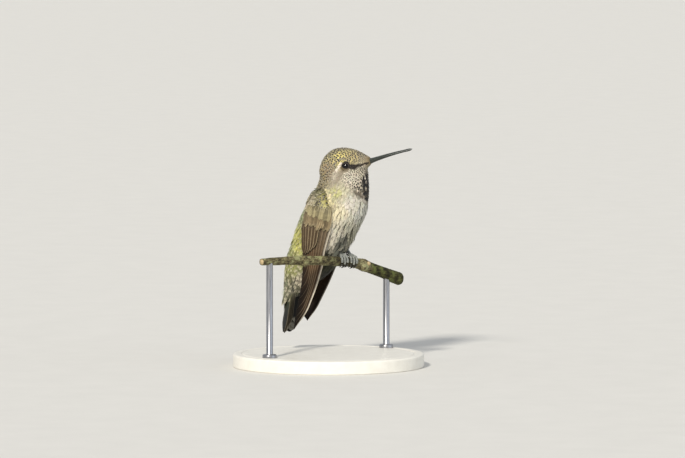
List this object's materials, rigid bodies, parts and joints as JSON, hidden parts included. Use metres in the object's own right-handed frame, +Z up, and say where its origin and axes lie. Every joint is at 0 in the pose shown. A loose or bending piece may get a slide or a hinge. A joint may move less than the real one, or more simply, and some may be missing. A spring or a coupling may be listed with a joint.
{
  "type": "hummingbird, perched (female-type Anna's hummingbird, museum model)",
  "caption": "Life-size still model of a perched hummingbird with closed wings and raised bill, on a cut twig over a round display stand.",
  "frame": {"origin": "centre of the stand base's underside", "axes": "+Z up; the bird's plane of symmetry is parallel to XZ and its bill points toward +X; +Y is the bird's left"},
  "size_m": [0.072, 0.0726, 0.0824],
  "materials": {
    "crown": "short olive and grey head feathers with a soft bronze sheen",
    "throat": "pale throat feathers with dusky centres",
    "belly": "soft loose grey-white breast and belly feathers",
    "rump": "yellow-green feathers with pale fringes",
    "vent": "olive-grey undertail coverts with pale fringes",
    "shoulder": "small yellow-green wing coverts",
    "covert": "grey-brown wing coverts and secondaries",
    "flight": "dark brown primaries with a faint sheen",
    "tail_green": "dark green to black tail feathers, the outer ones tipped white",
    "bill": "satin dark horn",
    "eye": "wet black",
    "foot": "fine grey scales",
    "claw": "satin dark horn",
    "bark": "dry bark with lichen, cut ends bare",
    "stand": "satin warm-white lacquer",
    "rod": "fine brushed"
  },
  "bodies": {
    "root": {"bill_lower": "bill", "bill_upper": "bill", "claw_left_hind": "claw", "claw_left_inner": "claw", "claw_left_middle": "claw", "claw_left_outer": "claw", "claw_right_hind": "claw", "claw_right_inner": "claw", "claw_right_middle": "claw", "claw_right_outer": "claw", "eye_left": "eye", "eye_right": "eye", "head": "crown", "leg_left": "foot", "leg_right": "foot", "neck": "throat", "perch": "bark", "rump_uppertail_coverts": "rump", "stand_base": "stand", "stand_rod_left": "rod", "stand_rod_right": "rod", "tail_left": "tail_green", "tail_right": "tail_green", "trunk": "belly", "undertail_coverts": "vent", "wing_left_coverts": "covert", "wing_left_primaries": "flight", "wing_left_secondaries": "covert", "wing_left_shoulder": "shoulder", "wing_right_coverts": "covert", "wing_right_primaries": "flight", "wing_right_secondaries": "covert", "wing_right_shoulder": "shoulder"}
  },
  "joints": []
}
